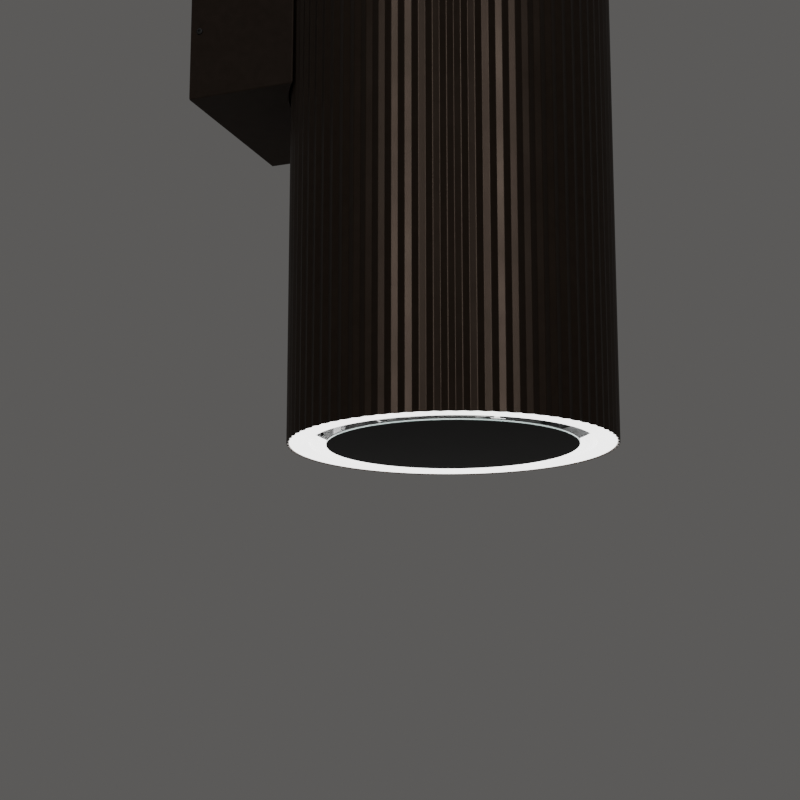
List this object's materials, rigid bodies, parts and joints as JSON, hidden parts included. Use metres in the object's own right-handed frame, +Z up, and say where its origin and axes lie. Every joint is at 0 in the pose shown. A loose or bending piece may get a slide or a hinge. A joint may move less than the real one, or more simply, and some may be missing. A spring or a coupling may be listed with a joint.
{
  "type": "wall-hung cylindrical cooker hood",
  "caption": "Wall-hung cooker hood: a tall pleated tube with a glowing ring and hinged round glass panel at its foot, carried on a box arm that also holds the duct.",
  "frame": {"origin": "centre of the four wall bolts, on the wall plane", "axes": "+Y into the wall, +Z up, +X to the right for someone who faces the wall"},
  "size_m": [0.395, 0.4974, 0.752],
  "materials": {
    "shell_paint": "matt black-brown textured powder coat on pleated steel sheet",
    "arm_paint": "matt black-brown powder coat on folded steel sheet",
    "opal": "opal acrylic, evenly lit from behind",
    "black_glass": "black enamelled tempered glass with a polished edge",
    "zinc": "zinc-plated steel sheet",
    "black_sheet": "black painted steel sheet",
    "filter_alloy": "bright aluminium",
    "latch_grey": "grey moulded plastic",
    "fastener": "zinc-plated steel",
    "black_screw": "black oxide steel",
    "blower_plastic": "black moulded plastic",
    "wheel_plastic": "grey moulded plastic",
    "motor_steel": "grey painted steel",
    "shaft_steel": "ground steel",
    "rubber": "black rubber",
    "capacitor_white": "white plastic can",
    "duct_plastic": "white moulded plastic duct",
    "board_green": "green circuit board",
    "board_white": "white circuit board",
    "led": "LED packages",
    "magnet": "nickel-plated magnet"
  },
  "bodies": {
    "hood": {"arm_cheek_left": "zinc", "arm_cheek_right": "zinc", "arm_cover": "arm_paint", "arm_cover_screws": "black_screw", "arm_top_plate": "arm_paint", "base_plate": "black_sheet", "blower_bushes": "rubber", "blower_screws": "fastener", "blower_shelf": "zinc", "cable_gland": "blower_plastic", "cap_screws": "black_screw", "capacitor": "capacitor_white", "capacitor_clip": "blower_plastic", "catch_brackets": "blower_plastic", "catch_magnets": "magnet", "chassis_struts": "zinc", "control_board": "board_green", "diffuser_wall": "opal", "duct_couplers": "blower_plastic", "duct_elbow": "duct_plastic", "duct_pipe": "duct_plastic", "electronics_box": "zinc", "electronics_lid": "zinc", "filter_frame": "filter_alloy", "filter_mesh": "filter_alloy", "fluted_shell": "shell_paint", "frame_bolts": "fastener", "hinge_brackets": "zinc", "inlet_rings": "blower_plastic", "inner_skirt": "zinc", "latch_housing": "latch_grey", "led_board": "board_white", "led_carrier": "zinc", "led_chips": "led", "led_driver": "blower_plastic", "light_diffuser": "opal", "lower_ring": "zinc", "motor": "motor_steel", "motor_bracket": "zinc", "outlet_adapter": "duct_plastic", "rear_frame": "zinc", "skirt_screws": "fastener", "terminal_block": "board_white", "top_cap": "shell_paint", "upper_ring": "zinc", "volute_left": "blower_plastic", "volute_right": "blower_plastic", "wall_duct_socket": "duct_plastic", "wall_plate": "zinc"},
    "glass_door": {"glass_panel": "black_glass", "panel_tray": "black_sheet", "panel_lugs": "zinc", "hinge_pins": "shaft_steel", "panel_keepers": "magnet"},
    "fan_wheel": {"impeller": "wheel_plastic", "motor_shaft": "shaft_steel"},
    "front_flap": {"damper_flap_front": "latch_grey"},
    "rear_flap": {"damper_flap_rear": "latch_grey"},
    "latch_slider": {"filter_latch": "latch_grey"}
  },
  "joints": [
    {"name": "glass_door_hinge", "type": "hinge", "parent": "hood", "child": "glass_door", "pos_m": [0, -0.175, -0.563], "axis": [1, 0, 0], "range_deg": [0, 85]},
    {"name": "fan_spin", "type": "hinge", "parent": "hood", "child": "fan_wheel", "pos_m": [0, -0.25, -0.34], "axis": [1, 0, 0], "continuous": true},
    {"name": "front_flap_hinge", "type": "hinge", "parent": "hood", "child": "front_flap", "pos_m": [0, -0.34, -0.18], "axis": [-1, 0, 0], "range_deg": [0, 75]},
    {"name": "rear_flap_hinge", "type": "hinge", "parent": "hood", "child": "rear_flap", "pos_m": [0, -0.335, -0.18], "axis": [1, 0, 0], "range_deg": [0, 75]},
    {"name": "filter_latch_slide", "type": "slide", "parent": "hood", "child": "latch_slider", "axis": [-1, 0, 0], "range_m": [0, 0.0056], "stiffness_N_per_m": 300, "springref_m": -0.005}
  ]
}
